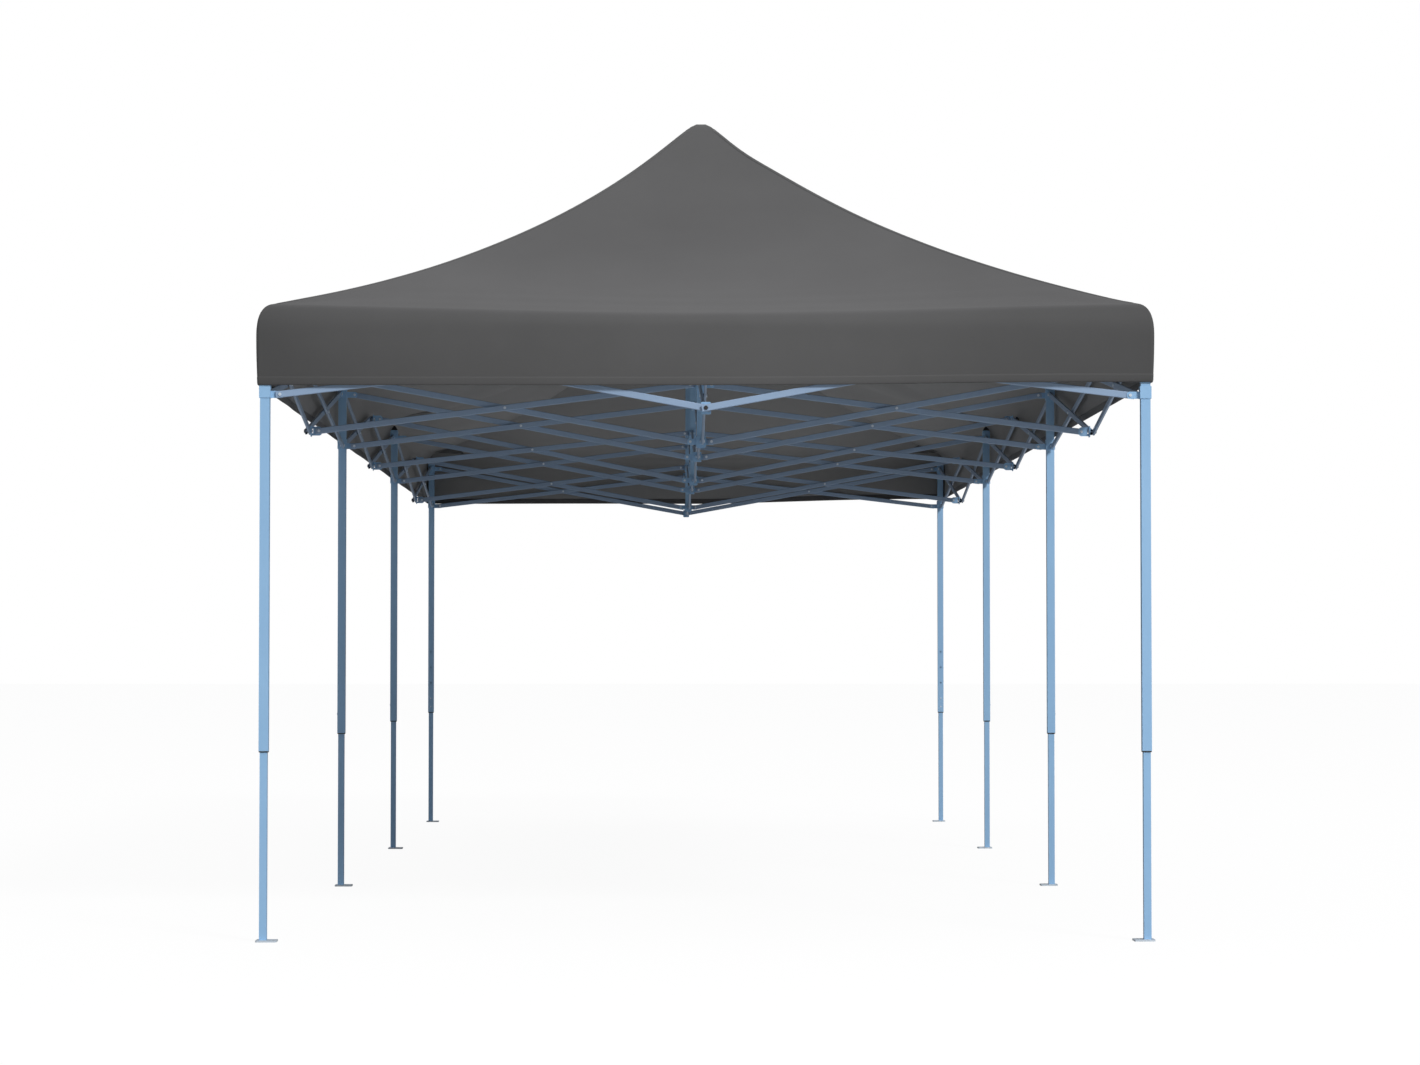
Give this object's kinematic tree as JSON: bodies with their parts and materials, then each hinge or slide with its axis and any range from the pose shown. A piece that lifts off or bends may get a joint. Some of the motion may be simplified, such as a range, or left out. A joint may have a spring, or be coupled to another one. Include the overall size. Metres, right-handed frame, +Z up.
{
  "type": "pop up canopy",
  "caption": "Long pop up canopy: scissor-truss frame on telescoping square legs with foot plates, under a peaked fabric roof with a straight valance.",
  "frame": {"origin": "on the ground at the centre of the footprint", "axes": "+X across the width, +Y along the length, +Z up"},
  "size_m": [3.006, 8.95, 2.965],
  "materials": {
    "powder_coat": "satin",
    "zinc_steel": "satin",
    "black_plastic": "matte",
    "cover_cloth": "matte"
  },
  "bodies": {
    "root": {"outer_legs": "powder_coat", "leg_end_collars": "black_plastic", "collar_rivets": "zinc_steel", "leg_top_brackets": "powder_coat", "leg_sliders": "powder_coat", "leg_top_caps": "black_plastic", "cross_truss_bars": "powder_coat", "side_truss_bars": "powder_coat", "centre_truss_bars": "powder_coat", "pivot_bolts": "zinc_steel", "pivot_nuts": "zinc_steel", "pivot_spacers": "black_plastic", "bolt_caps": "black_plastic", "edge_hubs": "powder_coat", "centre_hubs": "powder_coat", "peak_posts": "powder_coat", "peak_caps": "black_plastic", "canopy_roof": "cover_cloth", "canopy_valance": "cover_cloth"},
    "leg_left_1": {"inner_leg_left_1": "powder_coat", "inner_leg_guide_left_1": "black_plastic", "foot_plate_left_1": "zinc_steel"},
    "snap_left_1": {"leg_snap_button_left_1": "zinc_steel"},
    "lock_left_1": {"slider_lock_button_left_1": "zinc_steel"},
    "leg_left_2": {"inner_leg_left_2": "powder_coat", "inner_leg_guide_left_2": "black_plastic", "foot_plate_left_2": "zinc_steel"},
    "snap_left_2": {"leg_snap_button_left_2": "zinc_steel"},
    "lock_left_2": {"slider_lock_button_left_2": "zinc_steel"},
    "leg_left_3": {"inner_leg_left_3": "powder_coat", "inner_leg_guide_left_3": "black_plastic", "foot_plate_left_3": "zinc_steel"},
    "snap_left_3": {"leg_snap_button_left_3": "zinc_steel"},
    "lock_left_3": {"slider_lock_button_left_3": "zinc_steel"},
    "leg_left_4": {"inner_leg_left_4": "powder_coat", "inner_leg_guide_left_4": "black_plastic", "foot_plate_left_4": "zinc_steel"},
    "snap_left_4": {"leg_snap_button_left_4": "zinc_steel"},
    "lock_left_4": {"slider_lock_button_left_4": "zinc_steel"},
    "leg_right_1": {"inner_leg_right_1": "powder_coat", "inner_leg_guide_right_1": "black_plastic", "foot_plate_right_1": "zinc_steel"},
    "snap_right_1": {"leg_snap_button_right_1": "zinc_steel"},
    "lock_right_1": {"slider_lock_button_right_1": "zinc_steel"},
    "leg_right_2": {"inner_leg_right_2": "powder_coat", "inner_leg_guide_right_2": "black_plastic", "foot_plate_right_2": "zinc_steel"},
    "snap_right_2": {"leg_snap_button_right_2": "zinc_steel"},
    "lock_right_2": {"slider_lock_button_right_2": "zinc_steel"},
    "leg_right_3": {"inner_leg_right_3": "powder_coat", "inner_leg_guide_right_3": "black_plastic", "foot_plate_right_3": "zinc_steel"},
    "snap_right_3": {"leg_snap_button_right_3": "zinc_steel"},
    "lock_right_3": {"slider_lock_button_right_3": "zinc_steel"},
    "leg_right_4": {"inner_leg_right_4": "powder_coat", "inner_leg_guide_right_4": "black_plastic", "foot_plate_right_4": "zinc_steel"},
    "snap_right_4": {"leg_snap_button_right_4": "zinc_steel"},
    "lock_right_4": {"slider_lock_button_right_4": "zinc_steel"}
  },
  "joints": [
    {"name": "leg_left_1_slide", "type": "slide", "parent": "root", "child": "leg_left_1", "axis": [0, 0, 1], "range_m": [0, 0.27], "deforming": ["leg_snap_button_left_1"]},
    {"name": "snap_left_1_press", "type": "slide", "parent": "leg_left_1", "child": "snap_left_1", "axis": [0, -1, 0], "range_m": [0, 0.0043], "stiffness_N_per_m": 1500, "springref_m": -0.003},
    {"name": "lock_left_1_press", "type": "slide", "parent": "root", "child": "lock_left_1", "axis": [1, 0, 0], "range_m": [0, 0.0055], "stiffness_N_per_m": 1500, "springref_m": -0.003},
    {"name": "leg_left_2_slide", "type": "slide", "parent": "root", "child": "leg_left_2", "axis": [0, 0, 1], "range_m": [0, 0.27], "deforming": ["leg_snap_button_left_2"]},
    {"name": "snap_left_2_press", "type": "slide", "parent": "leg_left_2", "child": "snap_left_2", "axis": [1, 0, 0], "range_m": [0, 0.0043], "stiffness_N_per_m": 1500, "springref_m": -0.003},
    {"name": "lock_left_2_press", "type": "slide", "parent": "root", "child": "lock_left_2", "axis": [1, 0, 0], "range_m": [0, 0.0055], "stiffness_N_per_m": 1500, "springref_m": -0.003},
    {"name": "leg_left_3_slide", "type": "slide", "parent": "root", "child": "leg_left_3", "axis": [0, 0, 1], "range_m": [0, 0.27], "deforming": ["leg_snap_button_left_3"]},
    {"name": "snap_left_3_press", "type": "slide", "parent": "leg_left_3", "child": "snap_left_3", "axis": [1, 0, 0], "range_m": [0, 0.0043], "stiffness_N_per_m": 1500, "springref_m": -0.003},
    {"name": "lock_left_3_press", "type": "slide", "parent": "root", "child": "lock_left_3", "axis": [1, 0, 0], "range_m": [0, 0.0055], "stiffness_N_per_m": 1500, "springref_m": -0.003},
    {"name": "leg_left_4_slide", "type": "slide", "parent": "root", "child": "leg_left_4", "axis": [0, 0, 1], "range_m": [0, 0.27], "deforming": ["leg_snap_button_left_4"]},
    {"name": "snap_left_4_press", "type": "slide", "parent": "leg_left_4", "child": "snap_left_4", "axis": [0, 1, 0], "range_m": [0, 0.0043], "stiffness_N_per_m": 1500, "springref_m": -0.003},
    {"name": "lock_left_4_press", "type": "slide", "parent": "root", "child": "lock_left_4", "axis": [1, 0, 0], "range_m": [0, 0.0055], "stiffness_N_per_m": 1500, "springref_m": -0.003},
    {"name": "leg_right_1_slide", "type": "slide", "parent": "root", "child": "leg_right_1", "axis": [0, 0, 1], "range_m": [0, 0.27], "deforming": ["leg_snap_button_right_1"]},
    {"name": "snap_right_1_press", "type": "slide", "parent": "leg_right_1", "child": "snap_right_1", "axis": [0, -1, 0], "range_m": [0, 0.0043], "stiffness_N_per_m": 1500, "springref_m": -0.003},
    {"name": "lock_right_1_press", "type": "slide", "parent": "root", "child": "lock_right_1", "axis": [-1, 0, 0], "range_m": [0, 0.0055], "stiffness_N_per_m": 1500, "springref_m": -0.003},
    {"name": "leg_right_2_slide", "type": "slide", "parent": "root", "child": "leg_right_2", "axis": [0, 0, 1], "range_m": [0, 0.27], "deforming": ["leg_snap_button_right_2"]},
    {"name": "snap_right_2_press", "type": "slide", "parent": "leg_right_2", "child": "snap_right_2", "axis": [-1, 0, 0], "range_m": [0, 0.0043], "stiffness_N_per_m": 1500, "springref_m": -0.003},
    {"name": "lock_right_2_press", "type": "slide", "parent": "root", "child": "lock_right_2", "axis": [-1, 0, 0], "range_m": [0, 0.0055], "stiffness_N_per_m": 1500, "springref_m": -0.003},
    {"name": "leg_right_3_slide", "type": "slide", "parent": "root", "child": "leg_right_3", "axis": [0, 0, 1], "range_m": [0, 0.27], "deforming": ["leg_snap_button_right_3"]},
    {"name": "snap_right_3_press", "type": "slide", "parent": "leg_right_3", "child": "snap_right_3", "axis": [-1, 0, 0], "range_m": [0, 0.0043], "stiffness_N_per_m": 1500, "springref_m": -0.003},
    {"name": "lock_right_3_press", "type": "slide", "parent": "root", "child": "lock_right_3", "axis": [-1, 0, 0], "range_m": [0, 0.0055], "stiffness_N_per_m": 1500, "springref_m": -0.003},
    {"name": "leg_right_4_slide", "type": "slide", "parent": "root", "child": "leg_right_4", "axis": [0, 0, 1], "range_m": [0, 0.27], "deforming": ["leg_snap_button_right_4"]},
    {"name": "snap_right_4_press", "type": "slide", "parent": "leg_right_4", "child": "snap_right_4", "axis": [0, 1, 0], "range_m": [0, 0.0043], "stiffness_N_per_m": 1500, "springref_m": -0.003},
    {"name": "lock_right_4_press", "type": "slide", "parent": "root", "child": "lock_right_4", "axis": [-1, 0, 0], "range_m": [0, 0.0055], "stiffness_N_per_m": 1500, "springref_m": -0.003}
  ]
}
